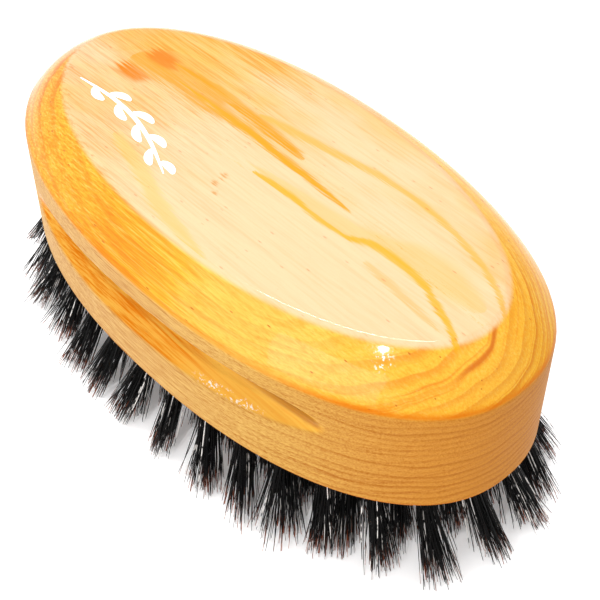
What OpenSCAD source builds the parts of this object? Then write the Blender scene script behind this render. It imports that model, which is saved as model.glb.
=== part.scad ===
// Oval beard brush. A solid pine grip with a flat top, a sloping shoulder and a finger groove along
// each side. Blind holes are drilled into its underside in lengthwise rows, bowed to follow the oval,
// and each hole holds one tuft of bristle, folded over a flat wire anchor that is wedged in the wood.
// The brush stands on its bristle tips at z = 0, with its length along X and its centre over the origin.

/* [Grip] */
// Length of the wooden grip
grip_length = 120; // [116:1:130]
// Width of the wooden grip
grip_width = 62; // [60:1:68]
// Height of the upright side wall
wall_height = 23.4; // [22:0.1:26]
// Height of the grip from its underside to its flat top
grip_height = 31.5; // [28:0.1:36]
// Length of the flat oval top
top_length = 102; // [94:1:106]
// Width of the flat oval top
top_width = 46.6; // [42:0.1:50]
// How far the sloping shoulder swells out past a straight slope
shoulder_swell = 0.6; // [0:0.1:1.5]
// Squareness of the grip's oval, where 2 is a plain ellipse
oval_power = 2.22; // [2:0.01:2.4]
// Squareness of the flat top's oval
top_power = 2.03; // [2:0.01:2.3]

/* [Finger grooves] */
// Distance from the middle of the grip to the deepest line of a groove, at mid length
groove_reach = 26.8; // [26.4:0.1:27.6]
// Radius of the long arc that the deepest line follows, seen from above
groove_bend = 328; // [280:1:400]
// Height of the deepest line above the underside of the grip, at mid length
groove_height = 13.7; // [13:0.1:14.5]
// Angle at which the grooves rise towards the +X end
groove_rise = 2.3; // [0:0.1:3]
// Radius of the hollow above the deepest line
groove_roof_radius = 5.3; // [4.5:0.1:5.5]
// Angle at which the groove's upper side opens out
groove_roof_angle = 5; // [0:1:10]
// Radius of the hollow below the deepest line
groove_floor_radius = 2.5; // [2:0.1:3]
// Angle at which the groove's lower side opens out
groove_floor_angle = 40; // [30:1:44]

/* [Bristles] */
// Length of bristle that shows below the grip
bristle_length = 18; // [14:0.5:24]
// Number of rows of tufts on each side of the middle line
rows_per_side = 5; // [5:1:5]
// Distance between neighbouring tufts along a row
tuft_pitch = 8.2; // [8:0.1:9]
// Distance from the edge of the grip to the outermost row
edge_margin = 4.8; // [4.6:0.1:5.2]
// Width of a tuft at its cut tips
tuft_tip_diameter = 5.2; // [4:0.1:5.2]
// How far the tips of the end tufts lean out along the grip
splay_length = 6; // [5:0.1:7]
// How far the tips of the side tufts lean out across the grip
splay_width = 4.5; // [4:0.1:5.5]

/* [Holes and anchors] */
// Diameter of a tuft hole
hole_diameter = 3.2; // [3:0.1:3.4]
// Depth of a tuft hole
hole_depth = 7; // [6.5:0.1:7.5]
// Gap all round between a folded tuft and the wall of its hole
tuft_clearance = 0.05; // [0.03:0.01:0.1]
// Width of an anchor across its hole
anchor_width = 3.7; // [3.6:0.1:3.9]
// Height of an anchor along its hole
anchor_height = 1.6; // [1.2:0.1:1.8]
// Thickness of the anchor's flat wire
anchor_thickness = 0.35; // [0.3:0.05:0.5]

/* [Hidden] */
ROWS = 2 * rows_per_side;
TUFT_ROW_NAMES = [for (row = [1:ROWS]) str("tuft_row_", row)];
ANCHOR_ROW_NAMES = [for (row = [1:ROWS]) str("anchor_row_", row)];

WOOD = [0.90, 0.62, 0.27];
BRISTLE = [0.08, 0.07, 0.07];
STEEL = [0.72, 0.73, 0.75];

outline_steps = 96;
shoulder_steps = 6;
walk_steps = 90;
row_gap = (grip_width / 2 - edge_margin) / (rows_per_side - 0.5);
row_squaring = 0.35;
splay_power = 1.5;
groove_sweep = 30;
overrun = 1;
overlong = 2;
trim_block = 30;
fold_gap = 0.3;
fold_thickness = 0.9;
anchor_depth = hole_depth - fold_gap - fold_thickness - anchor_height;

// A point on an oval of half-length a and half-width b: the direction t, stretched until its
// coordinates' powers add up to one.
function oval(a, b, power, t) =
    [a * cos(t), b * sin(t)] / pow(pow(abs(cos(t)), power) + pow(abs(sin(t)), power), 1 / power);

function blend(from, to, share) = from + (to - from) * share;

function outline(a, b, power) =
    [for (i = [0:outline_steps - 1]) oval(a, b, power, 360 * i / outline_steps)];

// One level of the shoulder, where share runs from 0 at the wall to 1 at the flat top. The slope
// swells by a half wave, as much upwards as outwards.
function shoulder_ring(share) =
    let (
        swell = shoulder_swell * sin(180 * share),
        a = blend(grip_length, top_length, share) / 2 + swell,
        b = blend(grip_width, top_width, share) / 2 + swell,
        z = blend(wall_height, grip_height, share) + swell
    )
    [for (p = outline(a, b, blend(oval_power, top_power, share))) [p.x, p.y, z]];

module shoulder() {
    n = outline_steps;
    points = [for (j = [0:shoulder_steps]) each shoulder_ring(j / shoulder_steps)];
    underside = [[for (i = [0:n - 1]) i]];
    top = [[for (i = [n - 1:-1:0]) shoulder_steps * n + i]];
    slopes = [
        for (j = [0:shoulder_steps - 1], i = [0:n - 1])
        let (here = j * n + i, next = j * n + (i + 1) % n)
        each [[here, here + n, next + n], [here, next + n, next]]
    ];
    polyhedron(points, concat(underside, top, slopes));
}

// One side of a groove's section, from the deepest line up and out: a quarter round, and a flank that
// leaves it along the tangent.
module groove_side(radius, angle) {
    mouth = 2 * groove_roof_radius + overrun;
    tangent = [1 - sin(angle), cos(angle)] * radius;
    intersection() {
        translate([radius, 0]) circle(radius, $fn = 96);
        square([mouth, radius]);
    }
    polygon([
        [radius, 0],
        tangent,
        [mouth, tangent.y + (mouth - tangent.x) * tan(angle)],
        [mouth, 0]
    ]);
}

// A pass along the side on a long arc, which runs out where the oval curves in towards each end.
module finger_groove() {
    translate([0, groove_reach, groove_height])
        rotate([0, -groove_rise, 0])
            translate([0, -groove_bend, 0])
                rotate([0, 0, 90 - groove_sweep / 2])
                    rotate_extrude(angle = groove_sweep, $fn = 360)
                        translate([groove_bend, 0]) {
                            groove_side(groove_roof_radius, groove_roof_angle);
                            mirror([0, 1]) groove_side(groove_floor_radius, groove_floor_angle);
                        }
}

// Rows are counted from the -Y side. Ring 0 is the outermost oval, shared by the first and last row.
function ring_of(row) = row <= rows_per_side ? row - 1 : ROWS - row;

function side_of(row) = row <= rows_per_side ? -1 : 1;

function ring_half_length(ring) = grip_length / 2 - edge_margin - ring * row_gap;

function ring_half_width(ring) = grip_width / 2 - edge_margin - ring * row_gap;

// A point on a ring, where step runs from 0 at the -X end to walk_steps at the +X end. The inner
// rings are squarer, so that neighbouring rows stay apart at their ends.
function ring_point(ring, step) = oval(
    ring_half_length(ring), ring_half_width(ring),
    oval_power + row_squaring * ring * ring, 180 * (1 - step / walk_steps)
);

// Distance walked along half a ring, against the step that it is reached at.
function walk(ring) = [
    for (
        step = 0, distance = 0;
        step <= walk_steps;
        step = step + 1,
        distance = distance + norm(ring_point(ring, step) - ring_point(ring, step - 1))
    )
    [distance, step]
];

// Where the tufts of a row enter the wood: evenly spaced along it, half a space in from each end.
function tuft_roots(row) =
    let (
        ring = ring_of(row),
        walked = walk(ring),
        row_length = walked[walk_steps][0],
        count = round(row_length / tuft_pitch)
    )
    [
        for (i = [0.5:1:count])
        let (p = ring_point(ring, lookup(i * row_length / count, walked)))
        [p.x, side_of(row) * p.y]
    ];

// How far a tuft's tips stand out from its root, growing from the middle rows to the outer ones.
function splay(root, ring) =
    let (share = pow(ring_half_width(ring) / ring_half_width(0), splay_power))
    share * [
        root.x * splay_length / ring_half_length(0),
        root.y * splay_width / ring_half_width(0)
    ];

// Puts its children at one hole mouth of a row, with the hole's axis up and the tips below.
module in_hole(root, row) {
    lean = splay(root, ring_of(row));
    translate([root.x, root.y, bristle_length])
        rotate([0, -atan(norm(lean) / bristle_length), atan2(lean.y, lean.x)])
            children();
}

module along_row(row) {
    for (root = tuft_roots(row))
        in_hole(root, row)
            children();
}

module anchor() {
    translate([0, 0, anchor_depth + anchor_height / 2])
        cube([anchor_thickness, anchor_width, anchor_height], center = true);
}

// The bristle in one hole: a straight folded end inside the wood, spreading towards the cut tips.
module tuft() {
    root_radius = hole_diameter / 2 - tuft_clearance;
    reach = bristle_length + overlong;
    spread = (tuft_tip_diameter / 2 - root_radius) / bristle_length;
    rotate([0, 0, 45])
        rotate_extrude($fn = 32)
            polygon([
                [0, hole_depth - fold_gap],
                [root_radius, hole_depth - fold_gap],
                [root_radius, 0],
                [root_radius + reach * spread, -reach],
                [0, -reach]
            ]);
}

module grip() {
    color(WOOD)
        difference() {
            translate([0, 0, bristle_length]) {
                difference() {
                    union() {
                        linear_extrude(wall_height)
                            polygon(outline(grip_length / 2, grip_width / 2, oval_power));
                        shoulder();
                    }
                    finger_groove();
                    mirror([0, 1, 0]) finger_groove();
                }
            }
            for (row = [1:ROWS]) {
                along_row(row) {
                    translate([0, 0, -overrun])
                        cylinder(hole_depth + overrun, d = hole_diameter, $fn = 32);
                    anchor();
                }
            }
        }
}

// Each tuft is trimmed level with its neighbours, in the plane that the brush stands on.
module tuft_row(row) {
    color(BRISTLE)
        for (root = tuft_roots(row))
            difference() {
                in_hole(root, row) tuft();
                in_hole(root, row) anchor();
                translate([root.x, root.y, -trim_block / 2])
                    cube(trim_block, center = true);
            }
}

module anchor_row(row) {
    color(STEEL)
        along_row(row) anchor();
}

grip();
for (row = [1:ROWS]) {
    tuft_row(row);
    anchor_row(row);
}
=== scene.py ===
"""Looks of an oval beard brush: a lacquered pine grip over rows of black bristle tufts.

Lengths are in millimetres, counted in the brush's own frame, and become metres only when a mesh is
made. Height is counted up from the bristle tips.
"""
import math

import bpy
import numpy as np
from mathutils import Matrix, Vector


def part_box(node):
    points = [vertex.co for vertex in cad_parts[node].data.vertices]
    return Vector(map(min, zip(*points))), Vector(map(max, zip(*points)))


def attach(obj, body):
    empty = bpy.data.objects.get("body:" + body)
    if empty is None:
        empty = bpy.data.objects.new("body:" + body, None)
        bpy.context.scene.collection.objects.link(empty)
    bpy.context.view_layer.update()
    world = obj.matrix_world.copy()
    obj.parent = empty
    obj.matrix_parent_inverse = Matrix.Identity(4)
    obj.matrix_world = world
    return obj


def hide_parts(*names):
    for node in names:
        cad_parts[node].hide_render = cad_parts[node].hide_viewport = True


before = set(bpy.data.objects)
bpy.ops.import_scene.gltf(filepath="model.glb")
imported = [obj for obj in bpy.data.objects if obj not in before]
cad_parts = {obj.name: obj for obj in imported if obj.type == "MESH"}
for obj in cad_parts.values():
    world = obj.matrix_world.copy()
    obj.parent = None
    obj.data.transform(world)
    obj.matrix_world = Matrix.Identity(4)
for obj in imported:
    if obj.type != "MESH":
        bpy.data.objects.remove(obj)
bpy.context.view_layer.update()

MM = 0.001
LEVEL = np.array([1, 1, 0])
ROWS = range(1, 11)
GRIP_LOW, GRIP_HIGH = (np.array(corner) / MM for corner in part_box("grip"))
UNDERSIDE = GRIP_LOW[2]
TOP = GRIP_HIGH[2]
HALF_LENGTH, HALF_WIDTH = GRIP_HIGH[0], GRIP_HIGH[1]

# The grip's shape, as in the part.
WALL_TOP = UNDERSIDE + 23.4
FLAT_HALF_LENGTH, FLAT_HALF_WIDTH = 51.0, 23.3
OVAL_POWER, FLAT_POWER = 2.22, 2.03
SHOULDER_SWELL = 0.6
GROOVE_REACH, GROOVE_BEND = 26.8, 328.0
GROOVE_MIDDLE, GROOVE_RISE = UNDERSIDE + 13.7, math.radians(2.3)
GROOVE_ROOF_RADIUS, GROOVE_FLOOR_RADIUS, GROOVE_FLOOR = 5.3, 2.5, math.radians(40)
HOLE_RADIUS, HOLE_DEPTH = 1.6, 7.0
FAR_OUT = 99

# No bristle tip stands farther out than this, along and across the brush.
FARTHEST_TIP = np.array([66.2, 35.0])

# How far the tips of some outer tufts are combed aside, along and across the brush, by row and by
# place in the row.
COMBED = {
    1: {1: (-2.0, -3.6), 2: (-0.2, -3.0), 3: (-0.6, -3.0), 4: (-0.8, -2.4), 5: (-0.2, -3.4),
        6: (-3.2, -1.0), 7: (-3.4, -1.3), 8: (-0.4, -2.1), 9: (1.6, -2.6), 10: (2.1, -1.6),
        11: (1.7, -0.8), 12: (-0.8, -0.8), 13: (1.6, 0.2), 14: (3.2, 0.4), 15: (2.4, 3.2)},
    2: {11: (3.2, -3.6)},
    10: {13: (3.9, 1.6), 14: (3.4, -0.2), 15: (2.3, 2.2)},
}


def mesh_object(name, points, faces, smooth=True):
    """A new object at the origin from points in millimetres and faces as index rows."""
    mesh = bpy.data.meshes.new(name)
    mesh.from_pydata((points * MM).tolist(), [], [list(face) for face in faces])
    mesh.validate()
    if smooth:
        mesh.shade_smooth()
    made = bpy.data.objects.new(name, mesh)
    bpy.context.scene.collection.objects.link(made)
    return made


def store(made, name, values):
    """Keeps one number per point on a mesh, for its material to read."""
    attribute = made.data.attributes.new(name, "FLOAT", "POINT")
    attribute.data.foreach_set("value", np.asarray(values, np.float32).ravel())


def grid_faces(rows, columns, start=0):
    """Quads between neighbouring rings of points, each ring closed round on itself."""
    row, column = np.meshgrid(np.arange(rows - 1), np.arange(columns), indexing="ij")
    after = (column + 1) % columns
    corners = (row * columns + column, row * columns + after,
               (row + 1) * columns + after, (row + 1) * columns + column)
    return start + np.stack(corners, -1).reshape(-1, 4)


def smooth_step(low, high, value):
    """0 below low, 1 above high, and a smooth rise between them."""
    share = np.clip((value - low) / (high - low), 0, 1)
    return share * share * (3 - 2 * share)


# ---------------------------------------------------------------- the wooden grip

def oval(half_length, half_width, power, angle):
    """A squarish ellipse: the direction of each angle, stretched until the powers of its
    coordinates add up to one."""
    across, along = np.sin(angle), np.cos(angle)
    size = (np.abs(along) ** power + np.abs(across) ** power) ** (1 / power)
    return half_length * along / size, half_width * across / size


def corner(before, middle, after, steps):
    """A rounded corner: the quadratic curve that leaves one point towards the middle one and
    arrives at the last."""
    t = np.linspace(0, 1, steps)[:, None]
    before, middle, after = (np.array(p) for p in (before, middle, after))
    return (1 - t) ** 2 * before + 2 * t * (1 - t) * middle + t ** 2 * after


def swelling(share):
    """How far the shoulder stands out, and up, from a straight slope."""
    return SHOULDER_SWELL * np.sin(np.pi * np.clip(share, 0, 1))


def grip_profile():
    """The grip's side from its underside up to the edge of its flat top, as rows of share and
    height. Share is 0 on the side wall and 1 at the edge of the flat top, and the shoulder swells
    by a half wave over the straight slope between them."""
    edge, brow, rim = 0.06, 0.10, 0.03
    rise = TOP - WALL_TOP
    low = corner((edge, UNDERSIDE), (0, UNDERSIDE), (0, UNDERSIDE + 0.5), 5)
    heights = np.linspace(UNDERSIDE + 0.75, WALL_TOP - 1.1, 88)
    wall = np.stack([np.zeros_like(heights), heights], -1)

    def slope(share):
        return np.stack([share, WALL_TOP + rise * share + swelling(share)], -1)

    bend = corner((0, WALL_TOP - 0.9), (0, WALL_TOP), slope(np.array([brow]))[0], 7)
    shoulder = slope(np.linspace(brow + 0.04, 1 - rim - 0.03, 22))
    crest = corner(slope(np.array([1 - rim]))[0], (1, TOP), (1 + rim, TOP), 7)
    return np.concatenate([low, wall, bend, shoulder, crest])


def groove_reach(x, height):
    """How far out across the grip a groove's surface lies, and how high each point is above its
    deepest line. That line bends out in an arc at mid length and rises towards the +X end. Above
    it the section is one wide arc. Below it a tighter arc runs on into a straight floor."""
    above = height - GROOVE_MIDDLE - x * math.tan(GROOVE_RISE)
    deepest = GROOVE_REACH - x ** 2 / (2 * GROOVE_BEND)

    def arc(radius):
        return radius - np.sqrt(np.maximum(radius ** 2 - above ** 2, 0))

    turn = GROOVE_FLOOR_RADIUS * math.cos(GROOVE_FLOOR)
    floor_start = GROOVE_FLOOR_RADIUS * (1 - math.sin(GROOVE_FLOOR))
    floor = floor_start - (above + turn) / math.tan(GROOVE_FLOOR)
    roof = np.where(above > GROOVE_ROOF_RADIUS, FAR_OUT, arc(GROOVE_ROOF_RADIUS))
    section = np.where(above > 0, roof, np.where(above < -turn, floor, arc(GROOVE_FLOOR_RADIUS)))
    return deepest + section, above


def carve_grooves(x, y, height):
    """Moves the wall in to the groove's surface wherever that lies deeper, with a soft upper lip
    and a crisp lower one. Also gives how deep each point was moved."""
    reach, above = groove_reach(x, height)
    lip = 0.35 + 0.35 * smooth_step(-1, 2, above)
    out = np.abs(y)
    overlap = np.maximum(lip - np.abs(out - reach), 0) / lip
    carved = np.minimum(out, reach) - overlap ** 2 * lip / 4
    on_wall = smooth_step(UNDERSIDE + 1.5, UNDERSIDE + 3, height)
    on_wall = on_wall * (1 - smooth_step(WALL_TOP - 3, WALL_TOP - 1, height))
    carved = out + (carved - out) * on_wall
    return np.sign(y) * carved, out - carved


def grip():
    """Rings of points up the profile, each an oval between the wall's and the flat top's, closed by
    a fan on the flat top and one face underneath, with the tuft holes drilled out of it. The flat
    top sinks by a square from its middle to its edge, by the height of its crown. Each point keeps
    how far it is part of the upright wall and of a groove."""
    columns, flat_rings, crown = 400, 14, 0.15
    profile = grip_profile()
    share, height = profile[:, :1], profile[:, 1:]
    swell = swelling(share)
    angle = np.linspace(0, 2 * np.pi, columns, endpoint=False)[None]
    x, y = oval(
        HALF_LENGTH + (FLAT_HALF_LENGTH - HALF_LENGTH) * share + swell,
        HALF_WIDTH + (FLAT_HALF_WIDTH - HALF_WIDTH) * share + swell,
        OVAL_POWER + (FLAT_POWER - OVAL_POWER) * share,
        angle,
    )
    height = height + 0 * x
    y, depth = carve_grooves(x, y, height)
    inner = np.linspace(1, 0, flat_rings + 1)[1:-1, None]
    x = np.concatenate([x, x[-1:] * inner])
    y = np.concatenate([y, y[-1:] * inner])
    level = 0 * x[:len(inner)]
    height = height - crown * smooth_step(0.9, 1, share)
    height = np.concatenate([height, TOP - crown * inner ** 2 + level])
    depth = np.concatenate([depth, level])
    rows = len(x)
    points = np.stack([x, y, height], -1).reshape(-1, 3)
    points = np.concatenate([points, [[0, 0, TOP]]])
    last = (rows - 1) * columns
    fan = [(last + i, last + (i + 1) % columns, len(points) - 1) for i in range(columns)]
    faces = [*grid_faces(rows, columns), *fan, range(columns - 1, -1, -1)]
    made = mesh_object("pine_grip", points, faces)
    upright = 1 - smooth_step(WALL_TOP - 0.5, WALL_TOP + 0.1, height)
    upright = upright * (1 - smooth_step(0.05, 0.5, depth))
    store(made, "side_wall", np.append(upright, 0))
    store(made, "groove", np.append(smooth_step(0.05, 0.6, depth), 0))
    drill(made)
    made.data.set_sharp_from_angle(angle=math.radians(50))
    return made


def drill(wood):
    """Cuts the slanted blind holes out of the underside."""
    sides = 20
    angle = np.linspace(0, 2 * np.pi, sides, endpoint=False)[:, None]
    points, faces = [], []
    for row in ROWS:
        for root, tip in zip(*tufts(row)):
            axis = (root - tip) / np.linalg.norm(root - tip)
            side = np.cross(axis, [0, 1, 0])
            side /= np.linalg.norm(side)
            rim = HOLE_RADIUS * (np.cos(angle) * side + np.sin(angle) * np.cross(axis, side))
            start = len(points) * 2 * sides
            points.append(np.concatenate([root - axis + rim, root + axis * HOLE_DEPTH + rim]))
            ends = start + np.arange(sides)[::-1], start + sides + np.arange(sides)
            faces += [*grid_faces(2, sides, start), *ends]
    bits = mesh_object("tuft_holes", np.concatenate(points), faces, smooth=False)
    cut = wood.modifiers.new("tuft_holes", "BOOLEAN")
    cut.object, cut.operation, cut.solver = bits, "DIFFERENCE", "EXACT"
    cut_wood = wood.evaluated_get(bpy.context.evaluated_depsgraph_get())
    drilled = bpy.data.meshes.new_from_object(cut_wood)
    wood.modifiers.clear()
    wood.data = drilled
    bpy.data.objects.remove(bits)


# ---------------------------------------------------------------- bristle tufts

def separate_solids(node):
    """The points of each separate solid in a CAD node, from its -X end to its +X end. Points that
    share a place are one, and each takes the lowest number that it can reach along the edges."""
    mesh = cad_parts[node].data
    places = np.empty(len(mesh.vertices) * 3, np.float32)
    mesh.vertices.foreach_get("co", places)
    places = places.reshape(-1, 3) / MM
    _, first, same = np.unique(places.round(3), axis=0, return_index=True, return_inverse=True)
    places = places[first]
    edges = np.empty(len(mesh.edges) * 2, np.int32)
    mesh.edges.foreach_get("vertices", edges)
    a, b = same.ravel()[edges].reshape(-1, 2).T
    label = np.arange(len(places))
    while (label[a] != label[b]).any():
        lower = np.minimum(label[a], label[b])
        np.minimum.at(label, a, lower)
        np.minimum.at(label, b, lower)
        label = label[label]
    solids = [places[label == number] for number in np.unique(label)]
    return sorted(solids, key=lambda solid: solid[:, 0].mean())


def tufts(row):
    """Where each tuft of a row leaves the wood, and the middle of its cut tips. Both lie on the
    line through the middle of its anchor."""
    tips = [tuft[tuft[:, 2] < 0.01].mean(0) for tuft in separate_solids(f"tuft_row_{row}")]
    anchors = [anchor.mean(0) for anchor in separate_solids(f"anchor_row_{row}")]
    tips, anchors = np.array(tips), np.array(anchors)
    share = (UNDERSIDE - tips[:, 2:]) / (anchors[:, 2:] - tips[:, 2:])
    return tips + (anchors - tips) * share, tips


def bristles(row):
    """One row of tufts as single bristles. Each bristle is a thin three-sided tube that starts in a
    disc inside the hole and ends in a wider disc at the tips. Its sideways place spreads with a
    power of the distance along it, it bows by a half wave, and its end curls aside by a cube. The
    bristles of a tuft gather in bunches, a few stray, and their ends are cut unevenly by a cube."""
    strands, rings, sides, bunches = 120, 7, 3, 10
    sunk, root_radius, tip_radius, disc_share = 1.2, 1.38, 2.75, 0.75
    chance = np.random.default_rng(500 + row)
    roots, tips = tufts(row)
    count = len(roots)
    shape = (count, strands, 1)

    def sideways(spread, *size):
        """Random steps along and across the brush, around nought."""
        return chance.normal(0, spread, (count, *size, 3)) * LEVEL

    turn = chance.uniform(0, 2 * np.pi, shape)
    out = np.sqrt(chance.uniform(0, 1, shape))
    disc = np.concatenate([out * np.cos(turn), out * np.sin(turn), 0 * turn], -1)
    bunch = chance.integers(0, bunches, shape)
    bunched = np.take_along_axis(sideways(0.5, bunches), bunch, axis=1)
    fullness = chance.uniform(0.95, 1.2, (count, 1, 1))
    drift = sideways(0.35, 1)
    for number, combed in COMBED.get(row, {}).items():
        drift[number] = [[*combed, 0]]
    scatter = sideways(0.3, strands)
    stray = (chance.uniform(0, 1, shape) < 0.05) * sideways(1.1, strands)
    bow = sideways(0.22, strands)
    ragged = 2.4 * chance.uniform(0, 1, shape) ** 3 + chance.uniform(0, 0.4, (count, 1, 1))
    ragged = ragged + np.take_along_axis(chance.uniform(0, 1.0, (count, bunches, 1)), bunch, axis=1)

    slant = (roots - tips)[:, None] / UNDERSIDE
    start = roots[:, None] + slant * sunk + disc * root_radius
    end = tips[:, None] + (disc * disc_share + bunched) * tip_radius * fullness
    end = end + drift + scatter + stray
    end = end / np.maximum(np.abs(end[..., :2] / FARTHEST_TIP).max(-1, keepdims=True), 1)
    end = end + (start - end) / UNDERSIDE * ragged
    end[..., 2] = ragged[..., 0]

    along = np.linspace(0, 1, rings)[None, None, :, None]
    place = start[:, :, None] + (end - start)[:, :, None] * along
    spreading = ((end - start) * LEVEL)[:, :, None] * (along ** 1.15 - along)
    curl = sideways(0.3, strands, 1) * (along ** 3 - along)
    place = place + spreading + bow[:, :, None] * np.sin(np.pi * along) + curl

    heading = np.gradient(place, axis=2)
    heading /= np.linalg.norm(heading, axis=-1, keepdims=True)
    side = np.cross(heading, [0, 1, 0])
    side /= np.linalg.norm(side, axis=-1, keepdims=True)
    other = np.cross(heading, side)
    each_strand = (count, strands, 1, 1)
    thick = chance.uniform(0.1, 0.14, each_strand) * (1 - 0.55 * along ** 3)
    turn = np.arange(sides) * 2 * np.pi / sides + chance.uniform(0, 6, each_strand)
    turn = turn[..., None]
    wall = np.cos(turn) * side[..., None, :] + np.sin(turn) * other[..., None, :]
    points = (place[..., None, :] + wall * thick[..., None]).reshape(-1, 3)

    each = rings * sides
    starts = np.arange(count * strands)[:, None, None] * each
    tubes = (starts + grid_faces(rings, sides)[None]).reshape(-1, 4)
    ends = np.array([np.arange(sides)[::-1], each - sides + np.arange(sides)])
    caps = (starts + ends[None]).reshape(-1, sides)
    made = mesh_object(f"bristle_row_{row}", points, [*tubes.tolist(), *caps.tolist()])
    shade = chance.uniform(0, 1, each_strand)
    for name, values in (("along", along), ("shade", shade)):
        store(made, name, np.broadcast_to(values[..., None], (count, strands, rings, sides, 1)))
    return made


# ---------------------------------------------------------------- the painted sprig

def brush_stroke(path, width):
    """A stroke of paint: a flat film along a path, with rounded edges, wide in the middle of its
    length by the root of a half wave. It stands on the wood by its lift, and is sunk into it a
    little, because the flat top is slightly crowned."""
    steps, across = len(path), 7
    lift, upper_sunk, under_sunk = 0.09, 0.03, 0.12
    heading = np.gradient(path, axis=0)
    heading /= np.linalg.norm(heading, axis=1, keepdims=True)
    side = np.stack([-heading[:, 1], heading[:, 0]], -1)
    along = np.linspace(0, 1, steps)
    half = width / 2 * np.sqrt(np.maximum(np.sin(np.pi * along), 0) * 0.94 + 0.06)
    turn = np.linspace(0, np.pi, across)
    over = path[:, None] + side[:, None] * (half[:, None] * np.cos(turn))[..., None]
    height = TOP - upper_sunk + lift * np.sin(turn) ** 0.5 + 0 * half[:, None]
    upper = np.concatenate([over, height[..., None]], -1)
    under = upper[:, -2:0:-1] * LEVEL + [0, 0, TOP - under_sunk]
    return np.concatenate([upper, under], 1)


def stem_at(t):
    """A point on the sprig's stem: a straight line that arches by a half wave."""
    return np.stack([-43 + 32 * t, -9.5 - 5.5 * t + 3.0 * np.sin(np.pi * t)], -1)


def painted_sprig():
    """A plain sprig in white paint near the -X end of the flat top: an arched stem with leaves in
    turn on either side, longest by the middle. Each leaf leaves the stem at an angle and bends back
    along it."""
    leaves, stem_width, leaf_width = 8, 0.9, 1.7
    strokes = [brush_stroke(stem_at(np.linspace(0, 1, 40)), stem_width)]
    for number, t in enumerate(np.linspace(0.12, 0.9, leaves)):
        side = 1 if number % 2 else -1
        length = 5.6 - 2.6 * abs(t - 0.45)
        ahead = stem_at(np.array([t, t + 0.01]))
        bearing = math.atan2(*(ahead[1] - ahead[0])[::-1]) + side * math.radians(52)
        run = np.linspace(0.1, 1, 16)
        turned = bearing - side * 0.55 * run
        leaf = length * np.stack([np.cos(turned), np.sin(turned)], -1) * run[:, None]
        strokes.append(brush_stroke(stem_at(np.array(t)) + leaf, leaf_width))
    points, faces, start = [], [], 0
    for stroke in strokes:
        steps, around = stroke.shape[:2]
        points.append(stroke.reshape(-1, 3))
        ends = start + np.arange(around)[::-1], start + (steps - 1) * around + np.arange(around)
        faces += [*grid_faces(steps, around, start).tolist(), *map(list, ends)]
        start += steps * around
    return mesh_object("painted_sprig", np.concatenate(points), faces)


# ---------------------------------------------------------------- materials

def colour(red, green, blue):
    """Screen values from 0 to 255, made linear."""
    values = np.array([red, green, blue]) / 255
    linear = np.where(values < 0.04045, values / 12.92, ((values + 0.055) / 1.055) ** 2.4)
    return (*linear.tolist(), 1.0)


class Signal:
    """An output of a node. Arithmetic on it adds Math nodes to its tree."""

    def __init__(self, tree, socket):
        self.tree, self.socket = tree, socket

    def node(self, kind, settings, inputs, output=0):
        return add_node(self.tree, kind, settings, inputs, output)

    def maths(self, operation, *values):
        return self.node("Math", {"operation": operation}, dict(enumerate(values)))

    def __add__(self, other): return self.maths("ADD", self, other)
    def __radd__(self, other): return self.maths("ADD", other, self)
    def __sub__(self, other): return self.maths("SUBTRACT", self, other)
    def __rsub__(self, other): return self.maths("SUBTRACT", other, self)
    def __mul__(self, other): return self.maths("MULTIPLY", self, other)
    def __rmul__(self, other): return self.maths("MULTIPLY", other, self)
    def __truediv__(self, other): return self.maths("DIVIDE", self, other)
    def __abs__(self): return self.maths("ABSOLUTE", self)

    def step(self, low, high):
        """0 below low, 1 above high, and a smooth rise between them."""
        smooth = {"interpolation_type": "SMOOTHSTEP"}
        return self.node("MapRange", smooth, {0: self, 1: low, 2: high})

    def curve(self, points):
        """A smooth curve through points whose first numbers rise."""
        xs, ys = zip(*points)
        share = (self - xs[0]) / (xs[-1] - xs[0])
        low, span = min(ys), max(ys) - min(ys)
        stops = [((x - xs[0]) / (xs[-1] - xs[0]), (y - low) / span) for x, y in points]
        return low + span * self.node("FloatCurve", {"points": stops}, {"Value": share})


def add_node(tree, kind, settings, inputs, output=0):
    """Adds a node. Settings are set first, of which points belong to a curve. Inputs are numbers,
    colours or Signals, by name or place."""
    node = tree.nodes.new("ShaderNode" + kind)
    for name, value in settings.items():
        if name == "points":
            line = node.mapping.curves[0]
            while len(line.points) < len(value):
                line.points.new(0.5, 0.5)
            for point, place in zip(line.points, value):
                point.location = place
            node.mapping.update()
        else:
            setattr(node, name, value)
    for name, value in inputs.items():
        if isinstance(value, Signal):
            tree.links.new(value.socket, node.inputs[name])
        else:
            node.inputs[name].default_value = value
    return Signal(tree, node.outputs[output])


def mix(factor, first, second, blend="MIX"):
    """Goes from the first colour to the second with the factor."""
    values = {0: factor, 6: first, 7: second}
    signal = next(value for value in values.values() if isinstance(value, Signal))
    return signal.node("Mix", {"data_type": "RGBA", "blend_type": blend}, values, 2)


def new_material(name):
    """A material with only its output left, and the place on the piece in millimetres."""
    material = bpy.data.materials.new(name)
    material.use_nodes = True
    tree = material.node_tree
    tree.nodes.clear()
    place = add_node(tree, "TexCoord", {}, {}, "Object")
    place = place.node("VectorMath", {"operation": "SCALE"}, {0: place, "Scale": 1 / MM})
    return material, tree, place


def finish_material(tree, inputs):
    """The surface shader, and the output that it goes to."""
    shader = add_node(tree, "BsdfPrincipled", {}, inputs)
    tree.links.new(shader.socket, tree.nodes.new("ShaderNodeOutputMaterial").inputs["Surface"])


def stretched(place, x, y, z):
    """The place with each axis scaled, so that patterns run long where the scale is small."""
    return place.node("VectorMath", {"operation": "MULTIPLY"}, {0: place, 1: (x, y, z)})


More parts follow.
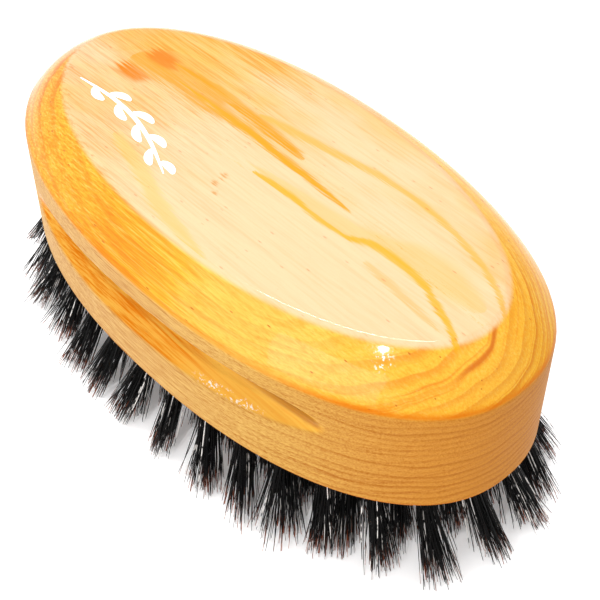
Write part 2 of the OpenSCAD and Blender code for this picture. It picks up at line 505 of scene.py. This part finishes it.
def noise(place, detail=2.0, roughness=0.5):
    """Cloudy noise from 0 to 1, around one half."""
    inputs = {"Vector": place, "Scale": 1.0, "Detail": detail, "Roughness": roughness}
    return place.node("TexNoise", {}, inputs)


def marked(tree, name):
    """The number stored under a name on each point of the mesh."""
    return add_node(tree, "Attribute", {"attribute_name": name}, {}, "Fac")


def bumped(height, strength):
    """The normal of a surface with the height, in millimetres, added to it."""
    return height.node("Bump", {}, {"Height": height, "Strength": strength, "Distance": MM})


# Screen colours of the wood, before the lacquer darkens them.
PINE = {name: colour(*values) for name, values in {
    "cream": (238, 207, 162),
    "cream_edge": (246, 180, 86),
    "cream_gold": (246, 182, 76),
    "cream_fibre": (244, 160, 48),
    "straw": (249, 198, 86),
    "gold": (250, 188, 58),
    "orange": (249, 160, 34),
    "far_end": (232, 158, 70),
    "late_wood": (206, 98, 10),
    "fine_line": (226, 118, 16),
    "dark_fibre": (236, 134, 20),
    "light_fibre": (255, 222, 124),
    "thread": (212, 116, 26),
    "knot": (206, 144, 62),
    "fleck": (190, 96, 20),
    "wall_far": (238, 194, 122),
    "wall_middle": (236, 188, 98),
    "wall_near": (222, 148, 56),
    "wall_line": (180, 104, 26),
    "groove_light": (253, 190, 76),
    "groove_dark": (236, 130, 8),
    "groove_roof": (238, 176, 92),
    "groove_shade": (170, 100, 34),
    "crease_shade": (168, 88, 20),
    "brow": (228, 116, 8),
    "scorch": (206, 96, 8),
    "foot_shade": (206, 92, 20),
}.items()}
# Colour of the highlights painted on the lacquer.
GLINT = (1.0, 1.0, 0.9, 1.0)
LACQUER_TINT = (0.62, 0.62, 0.62, 1.0)

# Streaks of dark wood on the flat top, in the order that they are laid. Each has its colour, how
# ragged it is, how strong it is all along and in dashes, its middle line, and its half-widths.
STREAKS = {
    "hem": ((246, 190, 88), 1.0, 0.5, 0.0,
     [(-26, -14.5), (-14, -17.5), (-5, -20.6), (7, -22.6)],
     [(-26, 0.0), (-14, 2.2), (-5, 2.0), (7, 0.8)]),
    "glow": ((244, 184, 78), 0.5, 0.4, 0.0,
     [(-4, -2.2), (10, -1.4), (20, -1.0), (27, 0.8), (36, 2.4), (49, 2.0)],
     [(-4, 0.0), (10, 2.0), (20, 2.6), (27, 3.0), (36, 5.0), (44, 3.6), (49, 0.0)]),
    "tawny": ((240, 172, 80), 1.2, 0.5, 0.0,
     [(28, -4.2), (36, -5.0), (46, -6.2)],
     [(28, 0.0), (36, 1.2), (46, 0.4)]),
    "resin": ((248, 156, 30), 1.4, 0.0, 0.85,
     [(-42, 2.5), (-38, 3.2), (-30, 4.0), (-20, 3.6), (-8, 3.5), (6, 2.9), (18, 2.2)],
     [(-42, 0.0), (-38, 4.8), (-30, 4.8), (-22, 4.6), (-17, 2.2), (-8, 1.4), (6, 1.0), (18, 0.0)]),
    "core": ((240, 160, 0), 0.5, 0.55, 0.45,
     [(-30, 3.6), (-20, 3.5), (-10, 3.5), (0, 3.0), (8, 2.8), (18, 2.2)],
     [(-30, 0.0), (-20, 0.8), (-10, 1.2), (0, 0.9), (8, 0.8), (18, 0.1)]),
    "branch": ((240, 154, 0), 0.9, 0.0, 1.0,
     [(-36, 6.6), (-24, 7.0), (-12, 6.6), (-4, 6.2), (3, 5.6)],
     [(-36, 0.0), (-24, 1.2), (-12, 1.8), (-4, 1.6), (3, 0.0)]),
    "flame": ((244, 172, 0), 0.55, 0.5, 0.4,
     [(-1, -3.2), (8, -2.5), (14, -2.9), (21, -2.6), (27, -0.4), (34, -0.3), (42, -2.4),
      (51, -6.6)],
     [(-1, 0.0), (8, 1.0), (14, 0.8), (21, 0.8), (27, 1.3), (34, 1.2), (42, 1.1), (51, 0.8)]),
    "arch": ((244, 176, 66), 0.65, 0.3, 0.5,
     [(-12, 8.2), (-4, 9.4), (6, 11.0), (18, 12.6), (28, 12.3), (38, 10.4), (46, 7.4), (53, 2.5)],
     [(-12, 0.0), (-4, 1.4), (6, 1.3), (18, 1.1), (28, 1.0), (38, 0.9), (46, 0.9), (53, 0.6)]),
}

# The two reddish ends of the resin streak: middle line, half-widths, place along X, and how far
# from that place the colour starts and ends fading.
EMBER = (236, 128, 0)
EMBERS = [
    ([(-41, 5.0), (-36, 5.4), (-32, 5.7)], [(-41, 0.4), (-38, 2.8), (-32, 1.0)], -37, 2.0, 4.5),
    ([(-44, -2.2), (-38, -1.4), (-32, -1.2)], [(-44, 0.2), (-38, 2.4), (-32, 0.6)], -38, 2.0, 5.0),
]

# Small knots on the flat top: x, y and radius.
KNOTS = [(-3.0, -7.6, 0.9), (-3.4, -9.8, 0.8), (-1.3, -11.6, 0.7)]


class Wood:
    """What the colours of the wood share: the place in millimetres, the marks kept on the mesh,
    and cloudy noises, of which fibre and thread are long and thin along the grain. Growth is the
    height across the growth layers, which slope and wander."""

    def __init__(self, tree, place):
        self.place = place
        axes = [add_node(tree, "SeparateXYZ", {}, {0: place}, output) for output in range(3)]
        self.x, self.y, self.z = axes
        self.side_wall, self.groove = marked(tree, "side_wall"), marked(tree, "groove")
        self.wander = noise(stretched(place, 0.02, 0.06, 0.06), 2.0) - 0.5
        self.ripple = noise(stretched(place, 0.06, 0.14, 0.2), 3.0) - 0.5
        self.fibre = noise(stretched(place, 0.07, 2.4, 2.4), 3.0, 0.6)
        self.thread = noise(stretched(place, 0.22, 6.0, 6.0), 2.0, 0.6)
        self.cloud = noise(stretched(place, 0.04, 0.1, 0.1), 3.0, 0.55)
        self.flat = self.z.step(TOP - 0.9, TOP - 0.35)
        self.growth = self.z - self.y * 0.3 + self.wander * 4.0 + self.ripple * 0.7

    def paint(self, base, amount, name):
        """The base with an amount of one of the wood's colours over it."""
        return mix(amount, base, PINE[name])


def layer_lines(layer, rise, fall):
    """Lines that darken slowly through each layer and end sharply, and a random strength for each
    layer."""
    share = layer.maths("FRACT", layer)
    number = layer.maths("FLOOR", layer)
    strength = layer.node("TexWhiteNoise", {"noise_dimensions": "1D"}, {"W": number})
    return share.step(rise, fall) * (1 - share.step(fall, 1.0)), strength


def growth_lines(wood):
    """The late wood of the growth layers, and finer lines that follow the layers."""
    layer = (wood.growth + wood.x * 0.008) / 1.7
    late, strength = layer_lines(layer, 0.35, 0.92)
    leaf = layer.node("CombineXYZ", {}, {0: wood.x * 0.02, 1: wood.y * 0.03, 2: layer * 2.6})
    return late * (0.3 + 0.7 * strength), noise(leaf, 3.0, 0.65).step(0.52, 0.7)


def shoulder_tone(wood):
    """Straw to orange, by how warm the wood is along X, and browner at the -X end."""
    warmth = wood.x.curve([(-62, 1.0), (-45, 0.8), (-24, 0.75), (-6, 0.95), (5, 0.75),
                           (16, 0.2), (30, 0.2), (40, 0.4), (62, 0.6)])
    warmth = warmth + (wood.cloud - 0.5) * 0.7 + (wood.fibre - 0.5) * 0.5
    tone = mix(warmth.step(0.1, 0.6), PINE["straw"], PINE["gold"])
    tone = wood.paint(tone, warmth.step(0.55, 1.15), "orange")
    return wood.paint(tone, (1 - wood.x.step(-56, -36)) * 0.45, "far_end")


def flat_top_tone(wood):
    """Cream, more golden towards the -X end and the +Y side, with a golden field at the -X end
    that one growth layer bounds."""
    x, y = wood.x, wood.y
    pale = x.curve([(-52, 0.8), (-42, 0.6), (-25, 0.65), (-10, 0.85), (15, 1.0), (52, 0.85)])
    pale = pale + (wood.cloud - 0.5) * 1.3 - y.step(-4, 12) * 0.35
    tone = mix(pale.step(0.0, 0.9), PINE["cream_edge"], PINE["cream"])
    contour = x.curve([(-44, 2.0), (-40, 6.5), (-35, 9.6), (-31, 10.4), (-25, 9.6),
                       (-18, 8.6), (-8, 9.0), (4, 14.0)])
    field = (y - contour).step(-0.2, 0.5) * x.step(-47, -40)
    field = field * (1 - (x + (wood.cloud - 0.5) * 30).step(-24, -4))
    tone = wood.paint(tone, field * (0.2 + 0.5 * wood.fibre.step(0.3, 0.6)), "cream_gold")
    amount = 0.1 + 0.55 * field + 0.25 * (1 - pale)
    return wood.paint(tone, wood.fibre.step(0.42, 0.72) * amount, "cream_fibre")


def add_grain(base, wood, late, fine):
    """The growth lines, strong on the ends of the shoulder, and the fibres, calm on the flat top
    and towards the +X end."""
    x, flat = wood.x, wood.flat
    ends = (abs(x) + (wood.cloud - 0.5) * 12).step(38, 50)
    calm = 1 - flat * (0.45 + 0.4 * x.step(-24, -4))
    calm = calm * (1 - (0.55 - 0.25 * flat) * x.step(-5, 20))
    late_amount = 0.25 + 0.45 * ends + 0.3 * (1 - x.step(-48, -24))
    base = wood.paint(base, late * late_amount * (1 - flat * 0.85), "late_wood")
    base = wood.paint(base, fine * (0.3 + 0.35 * ends) * (1 - flat * 0.8), "fine_line")
    base = wood.paint(base, wood.fibre.step(0.46, 0.68) * 0.6 * calm, "dark_fibre")
    base = wood.paint(base, (1 - wood.fibre).step(0.5, 0.72) * 0.35 * calm, "light_fibre")
    return wood.paint(base, wood.thread.step(0.46, 0.68) * 0.5 * calm, "thread")


def grain_streak(x, y, ragged, line, widths):
    """A dark streak of summer wood: full along a line given by points, fading over its half-width,
    which is given at points too."""
    off = abs(y + ragged - x.curve(line))
    half = x.curve(widths)
    return 1 - (off / half.maths("MAXIMUM", half, 0.02)).step(0.35, 1.0)


def add_streaks(base, wood):
    """The streaks and small knots of the flat top, with edges that the fibres fray."""
    x, y = wood.x, wood.y
    over = wood.z.step(TOP - 1.6, TOP - 0.5)
    ragged = (wood.fibre - 0.5) * 2.8 + (wood.thread - 0.5) * 2.0
    dashes = 0.7 + 0.3 * (wood.fibre + (wood.thread - 0.5) * 0.6).step(0.36, 0.56)
    for shown, fraying, even, dashed, line, widths in STREAKS.values():
        streak = grain_streak(x, y, ragged * fraying, line, widths)
        base = mix(streak * over * (even + dashed * dashes), base, colour(*shown))

    along = x + (wood.fibre - 0.5) * 9
    embers = []
    for line, widths, middle, full, gone in EMBERS:
        ember = grain_streak(along, y, (wood.cloud - 0.5) * 2, line, widths)
        embers.append(ember * (1 - abs(along - middle).step(full, gone)))
    ember = embers[0].maths("MAXIMUM", *embers)
    base = mix(ember * (0.4 + 0.6 * dashes) * over, base, colour(*EMBER))

    for at_x, at_y, radius in KNOTS:
        off = abs(x - at_x + (wood.cloud - 0.5) * 4) * 0.5 + abs(y - at_y + ragged)
        base = wood.paint(base, (1 - off.step(radius * 0.3, radius)) * over * 0.7, "knot")
    return base


def resin_flecks(wood):
    """Short dark flecks along the grain, in a few of the cells of a stretched pattern."""
    inputs = {"Vector": stretched(wood.place, 0.30, 1.25, 1.25), "Scale": 1.0}
    near = wood.place.node("TexVoronoi", {}, inputs)
    chosen = wood.place.node("TexVoronoi", {}, inputs, "Color")
    chosen = wood.place.node("SeparateColor", {}, {0: chosen})
    return (1 - near.step(0.08, 0.2)) * chosen.step(0.84, 0.88)


def side_wall_tone(wood, fine):
    """Tan, warmer towards the +X end, with almost level growth lines that show best there."""
    x = wood.x
    tone = mix(x.step(-15, 35), PINE["wall_far"], PINE["wall_middle"])
    tone = wood.paint(tone, x.step(25, 62), "wall_near")
    line, strength = layer_lines(
        (wood.z - wood.y * 0.06 + wood.wander * 4.0 + wood.ripple * 1.2) / 1.5, 0.3, 0.9)
    line = line * (0.15 + 0.45 * x.step(10, 55)) * (0.25 + 0.75 * strength)
    fibres = wood.thread.step(0.4, 0.65) * 0.5 + wood.fibre.step(0.45, 0.75) * 0.3
    return wood.paint(tone, line + fine * 0.3 + fibres, "wall_line")


def add_groove(base, wood):
    """An orange floor, yellow towards the +X end, under a tan roof that painted shade turns brown
    there, and painted shade along the deepest line where the two meet."""
    x, within = wood.x, wood.groove * (1 - wood.side_wall)
    above = wood.z - x * math.tan(GROOVE_RISE)
    floor_tone = mix(wood.fibre.step(0.35, 0.65) * (1 - 0.75 * x.step(6, 18)),
                     PINE["groove_light"], PINE["groove_dark"])
    # Painted shade: the roof turns brown towards the +X end, where it faces down.
    roof_tone = mix(x.step(12, 32), PINE["groove_roof"], PINE["groove_shade"])
    tone = mix(above.step(GROOVE_MIDDLE - 0.2, GROOVE_MIDDLE + 1.0), floor_tone, roof_tone)
    base = mix(within * 0.85, base, tone)
    # Painted shade along the deepest line of the groove, where roof and floor meet.
    crease_shade = 1 - (abs(above - GROOVE_MIDDLE) + (wood.fibre - 0.5)).step(0.1, 0.9)
    return wood.paint(base, crease_shade * within * (0.15 + 0.45 * x.step(10, 38)), "crease_shade")


def add_edges(base, wood):
    """A darker brow on the top edge of the side wall, painted shade along its bottom edge, and dark
    lines by the +X end of the flat top. Painted highlights: white sparkles on the lower lip of the
    groove and round the highlight on the shoulder."""
    x, y, z = wood.x, wood.y, wood.z
    brow = z.step(WALL_TOP - 0.5, WALL_TOP + 0.1) * (1 - z.step(WALL_TOP + 0.1, WALL_TOP + 1.1))
    base = wood.paint(base, brow * (0.25 + 0.5 * x.step(5, 50)) * (0.4 + wood.cloud), "brow")

    # Painted highlights: white sparkles on the lower lip of the groove and round the shoulder's
    # highlight.
    painted_sparkle = noise(stretched(wood.place, 1.4, 2.2, 2.2), 2.0, 0.7).step(0.54, 0.62)
    lip = 1 - abs(z - x * 0.1 - UNDERSIDE - 8.9).step(0.2, 0.9)
    lip = lip * x.step(12, 17) * (1 - x.step(25, 30))
    base = mix(lip * wood.groove * painted_sparkle, base, GLINT)
    by_highlight = 1 - (abs(x - 44.1) + abs(y + 15.7)).step(0.8, 3.0)
    base = mix(by_highlight * painted_sparkle.step(0.6, 1.0), base, GLINT)

    scorch = 1 - abs(wood.growth - 48.5).step(0.05, 0.4)
    scorch = scorch * x.step(44, 51) * y.step(-11, -6) * (1 - y.step(1, 5)) * (1 - wood.flat)
    base = wood.paint(base, scorch * 0.75, "scorch")
    # Painted shade along the bottom edge of the side wall, where it meets the bristles.
    foot_shade = 1 - z.step(UNDERSIDE + 0.15, UNDERSIDE + 0.7)
    return wood.paint(base, foot_shade * 0.6, "foot_shade")


def lacquered_pine():
    """Flat-sawn pine. Its growth layers lie almost level, so they show as long flames on the flat
    top, as contour lines round the shoulder's ends, and as level lines on the side wall. Fibres and
    resin flecks run along X. The flat top and the shoulder are lacquered, thinly on the +Y side of
    the shoulder. The side wall is paler and duller."""
    material, tree, place = new_material("lacquered_pine")
    wood = Wood(tree, place)
    late, fine = growth_lines(wood)
    fleck = resin_flecks(wood)
    base = mix(wood.flat, shoulder_tone(wood), flat_top_tone(wood))
    base = add_streaks(add_grain(base, wood, late, fine), wood)
    base = wood.paint(base, fleck * (1 - wood.flat * 0.55) * 0.75, "fleck")
    base = mix(wood.side_wall * 0.95, base, side_wall_tone(wood, fine))
    base = add_edges(add_groove(base, wood), wood)
    base = mix(1.0, base, LACQUER_TINT, "MULTIPLY")

    roughness = 0.14 + 0.36 * wood.side_wall + (wood.thread - 0.5) * 0.05
    peel = noise(stretched(place, 1.1, 1.1, 1.1), 2.0, 0.6) * 0.045
    pores = (late * 0.03 + wood.thread * 0.02) * (0.3 + wood.side_wall)
    height = peel + (wood.fibre - 0.5) * 0.02 + pores - fleck * 0.05
    thin = wood.y.step(-2, 8) * (1 - wood.flat)
    coat = wood.z.step(WALL_TOP + 0.4, WALL_TOP + 2.2) * (0.36 - 0.3 * thin)
    finish_material(tree, {
        "Base Color": base, "Roughness": roughness, "Normal": bumped(height, 0.9),
        "Specular IOR Level": 0.03, "Coat Weight": coat, "Coat Roughness": 0.05,
    })
    return material


def natural_bristle():
    """Black hog bristle. A few bristles carry painted glints, pale in places, and many are bleached
    to rust at the tips."""
    material, tree, place = new_material("natural_bristle")
    along, shade = marked(tree, "along"), marked(tree, "shade")
    mottle = noise(stretched(place, 2.0, 2.0, 0.7), 2.0)
    body = mix(shade.step(0.3, 0.8), colour(2, 2, 2), colour(13, 11, 11))
    # Painted glints: pale streaks on a few bristles.
    glint = noise(stretched(place, 0.8, 0.8, 0.3), 2.0).step(0.46, 0.54)
    body = mix(shade.step(0.87, 0.9) * glint, body, colour(226, 221, 216))
    bleached = (along + (mottle - 0.5) * 0.3).step(0.8, 1.0) * (1 - shade).step(0.55, 0.85)
    body = mix(bleached * 0.65, body, colour(176, 84, 40))
    roughness = 0.2 + mottle * 0.2
    finish_material(tree, {"Base Color": body, "Roughness": roughness, "Specular IOR Level": 0.09})
    return material


def drawn_wire():
    """Flat steel wire, with fine drawing lines along it."""
    material, tree, place = new_material("drawn_wire")
    lines = noise(stretched(place, 9.0, 0.8, 9.0), 3.0)
    base = mix(lines, colour(150, 152, 156), colour(205, 206, 208))
    finish_material(tree, {"Base Color": base, "Roughness": 0.25 + lines * 0.2, "Metallic": 1.0})
    return material


def white_enamel():
    """White paint put on by hand, a little thin in places."""
    material, tree, place = new_material("white_enamel")
    thin = noise(stretched(place, 0.9, 2.2, 1.0), 3.0)
    base = mix(thin.step(0.52, 0.8) * 0.5, colour(250, 249, 248), colour(246, 232, 214))
    normal = bumped(thin * 0.03, 0.8)
    finish_material(tree, {"Base Color": base, "Roughness": 0.38, "Normal": normal})
    return material


def paper_floor():
    """A plain white sheet, a little uneven in tone, and lit a little from beneath to soften the
    shadows."""
    material, tree, place = new_material("paper_floor")
    tone = noise(stretched(place, 0.01, 0.01, 0.01), 2.0)
    base = mix(tone, colour(250, 250, 250), colour(244, 244, 245))
    finish_material(tree, {
        "Base Color": base, "Roughness": 0.6,
        "Emission Color": (1.0, 1.0, 1.0, 1.0), "Emission Strength": 0.15,
    })
    return material


# ---------------------------------------------------------------- stage, light and camera

def floor():
    half = 1500
    corners = [[-half, -half, 0], [half, -half, 0], [half, half, 0], [-half, half, 0]]
    made = mesh_object("floor", np.array(corners, float), [(0, 1, 2, 3)], smooth=False)
    made.data.materials.append(paper_floor())


def looking(place, back, roll=0.0):
    """A placing whose -Z axis looks against back, with +Y as near up as it can be, then rolled."""
    back = np.array(back) / np.linalg.norm(back)
    right = np.cross([0, 0, 1], back)
    right /= np.linalg.norm(right)
    up = np.cross(back, right)
    turned = np.cos(roll) * right + np.sin(roll) * up
    up = np.cross(back, turned)
    rows = [[*axes, at * MM] for axes, at in zip(np.stack([turned, up, back], -1), place)]
    return Matrix([*rows, [0, 0, 0, 1]])


def softbox(name, direction, distance, size, power, facing=(0, 0, TOP), roll=0.0,
            shape="RECTANGLE"):
    """A lamp with a flat face, at a distance and direction from the point that it faces, rolled by
    an angle in degrees."""
    lamp = bpy.data.lights.new(name, "AREA")
    lamp.shape, lamp.size, lamp.size_y = shape, size[0] * MM, size[1] * MM
    lamp.energy = power
    made = bpy.data.objects.new(name, lamp)
    towards = np.array(direction) / np.linalg.norm(direction)
    place = np.array(facing) + towards * distance
    made.matrix_world = looking(place, towards, math.radians(roll))
    bpy.context.scene.collection.objects.link(made)


def lights():
    """Large soft lamps, a long one that draws a bright line along the near edge of the flat top, a
    small one that makes the highlight on the shoulder, and a white room."""
    near_edge, highlight = (39, -13, TOP), (43, -14.6, 48.0)
    softbox("window", (-0.53, 0.50, 0.69), 900, (330, 330), 0.25, facing=(16, 0, TOP))
    softbox("overhead", (-0.45, -0.12, 0.88), 1100, (700, 700), 1.0)
    softbox("strip", (-0.24, 0.09, 0.96), 900, (470, 80), 6.2, facing=near_edge, roll=-35.5)
    softbox("flash", (0.127, -0.37, 0.92), 520, (24, 40), 0.8, facing=highlight, shape="ELLIPSE")
    softbox("fill", (0.15, -0.85, 0.5), 1000, (600, 600), 4.3)
    world = bpy.data.worlds.new("white_room")
    world.use_nodes = True
    background = world.node_tree.nodes["Background"].inputs
    background["Color"].default_value = (1, 1, 1, 1)
    background["Strength"].default_value = 0.86
    bpy.context.scene.world = world
    bpy.context.scene.view_settings.view_transform = "Standard"


def camera():
    """A close, slightly long lens that looks down at the +X, -Y quarter of the brush, centred a
    little aside of and below the middle of the grip's underside."""
    azimuth, elevation, roll = (math.radians(angle) for angle in (47.57, 47.0, -0.15))
    distance, aside, above = 257.07, 5.29, -2.09
    back = np.array([
        math.sin(azimuth) * math.cos(elevation),
        -math.cos(azimuth) * math.cos(elevation),
        math.sin(elevation),
    ])
    data = bpy.data.cameras.new("camera")
    data.sensor_width, data.lens = 36, 79.93
    data.clip_start = 0.01
    made = bpy.data.objects.new("camera", data)
    axes = np.array(looking([0, 0, 0], back, roll))[:3, :3]
    place = back * distance + axes[:, 0] * aside + axes[:, 1] * above + [0, 0, UNDERSIDE]
    made.matrix_world = looking(place, back, roll)
    bpy.context.scene.collection.objects.link(made)
    bpy.context.scene.camera = made


# ---------------------------------------------------------------- putting it together

def place_piece(made, material, slot, *nodes):
    """Gives a new piece its material and its body, and hides the nodes that it stands for. The slot
    that it is given is not used.
    """
    made.data.materials.clear()
    made.data.materials.append(material)
    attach(made, "root")
    if nodes:
        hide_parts(*nodes)


place_piece(grip(), lacquered_pine(), "lacquered_pine", "grip")
bristle_look = natural_bristle()
wire_look = drawn_wire()
for row in ROWS:
    place_piece(bristles(row), bristle_look, "bristle", f"tuft_row_{row}")
    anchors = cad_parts[f"anchor_row_{row}"].data
    anchors.materials.clear()
    anchors.materials.append(wire_look)
place_piece(painted_sprig(), white_enamel(), "white_paint")
floor()
lights()
camera()
